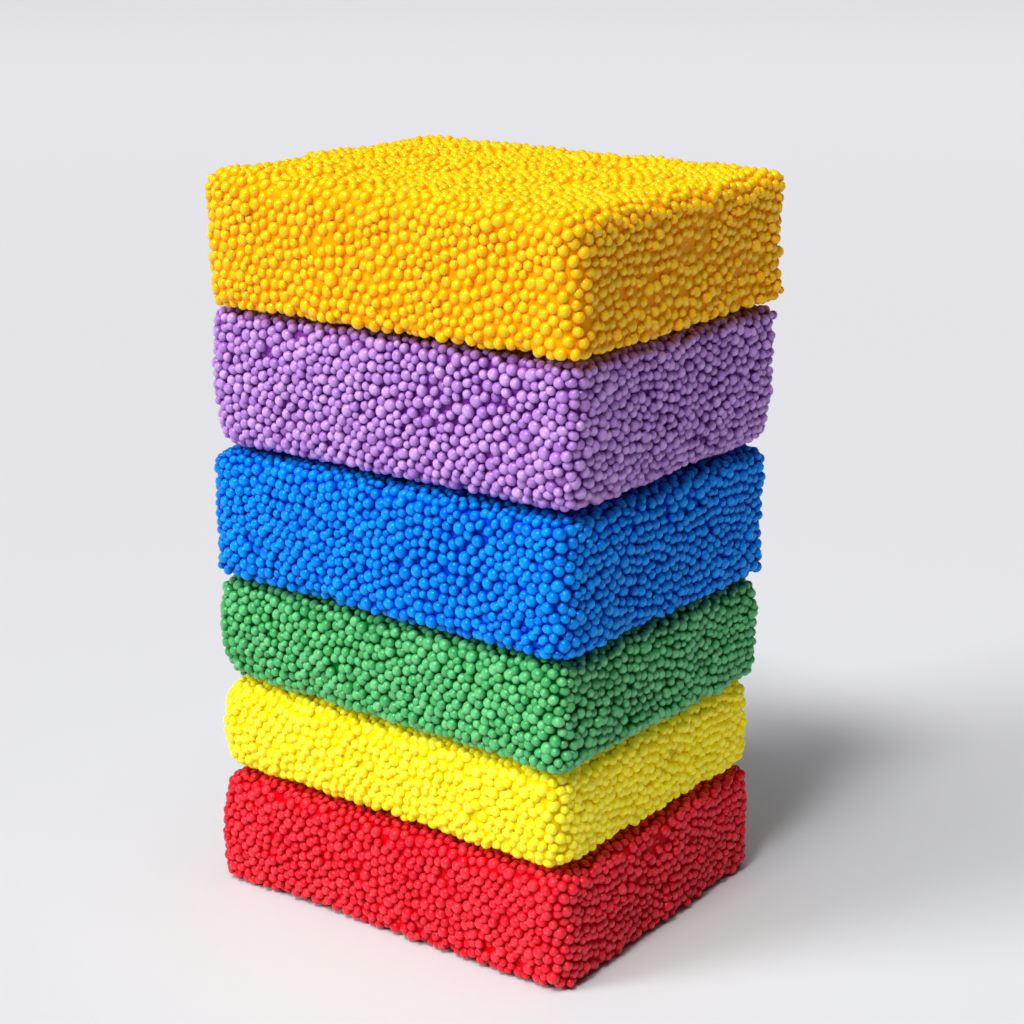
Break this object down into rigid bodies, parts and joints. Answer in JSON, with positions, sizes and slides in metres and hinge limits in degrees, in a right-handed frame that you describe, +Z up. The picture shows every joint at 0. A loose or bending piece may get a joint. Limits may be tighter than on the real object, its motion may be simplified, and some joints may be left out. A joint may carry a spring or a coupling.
{
  "type": "stacked modelling foam blocks",
  "caption": "Rectangular blocks of soft beaded modelling foam in bright colours, laid one on another in a tall stack; each block lifts off the one below.",
  "frame": {"origin": "centre of the lowest block's bottom face, the face the stack rests on", "axes": "+Z up through the stack, +X along the long side of the lowest block, -Y the long side seen on the left in the picture"},
  "size_m": [0.0934, 0.0743, 0.1505],
  "materials": {
    "red_foam": "satin",
    "yellow_foam": "satin",
    "green_foam": "satin",
    "blue_foam": "satin",
    "purple_foam": "satin",
    "amber_foam": "satin"
  },
  "bodies": {
    "red": {"red_block": "red_foam"},
    "yellow": {"yellow_block": "yellow_foam"},
    "green": {"green_block": "green_foam"},
    "blue": {"blue_block": "blue_foam"},
    "purple": {"purple_block": "purple_foam"},
    "amber": {"amber_block": "amber_foam"}
  },
  "joints": [
    {"name": "yellow_lift", "type": "slide", "parent": "red", "child": "yellow", "axis": [0, 0, 1], "range_m": [0, 0.04]},
    {"name": "green_lift", "type": "slide", "parent": "yellow", "child": "green", "axis": [0, 0, 1], "range_m": [0, 0.04]},
    {"name": "blue_lift", "type": "slide", "parent": "green", "child": "blue", "axis": [0, 0, 1], "range_m": [0, 0.04]},
    {"name": "purple_lift", "type": "slide", "parent": "blue", "child": "purple", "axis": [0, 0, 1], "range_m": [0, 0.04]},
    {"name": "amber_lift", "type": "slide", "parent": "purple", "child": "amber", "axis": [0, 0, 1], "range_m": [0, 0.04]}
  ]
}
